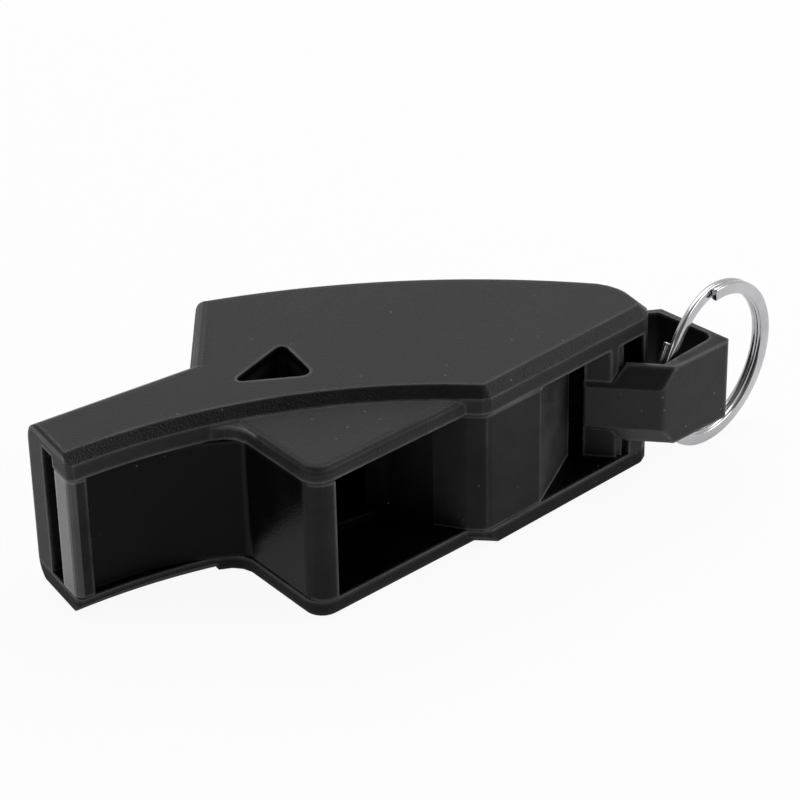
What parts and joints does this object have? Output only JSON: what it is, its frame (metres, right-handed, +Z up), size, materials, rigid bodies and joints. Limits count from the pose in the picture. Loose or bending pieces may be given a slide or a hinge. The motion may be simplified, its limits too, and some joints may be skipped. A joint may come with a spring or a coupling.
{
  "type": "pealess referee whistle",
  "caption": "Dark grey plastic referee's whistle lying on its side, with side windows, a lanyard clip and a steel split ring.",
  "frame": {"origin": "on the flat underside that the whistle lies on, 30 mm from its mouth end, below the middle line of the airway", "axes": "+X along the airway from the mouth end to the nose and ring, +Y towards the long curved back edge, +Z up through the thickness"},
  "size_m": [0.0759, 0.0318, 0.018],
  "materials": {
    "housing": "fine spark-eroded texture with a soft sheen",
    "insert": "smooth satin moulding",
    "clip": "semi-gloss moulding",
    "ring": "nickel-plated spring steel wire"
  },
  "bodies": {
    "whistle": {"shell": "housing", "voicing_core": "insert", "lanyard_clip": "clip"},
    "ring": {"split_ring": "ring"}
  },
  "joints": [
    {"name": "ring_turn", "type": "hinge", "parent": "whistle", "child": "ring", "pos_m": [0.03735, -0.01045, 0.00876], "axis": [0.2756, -0.9613, 0], "continuous": true}
  ]
}
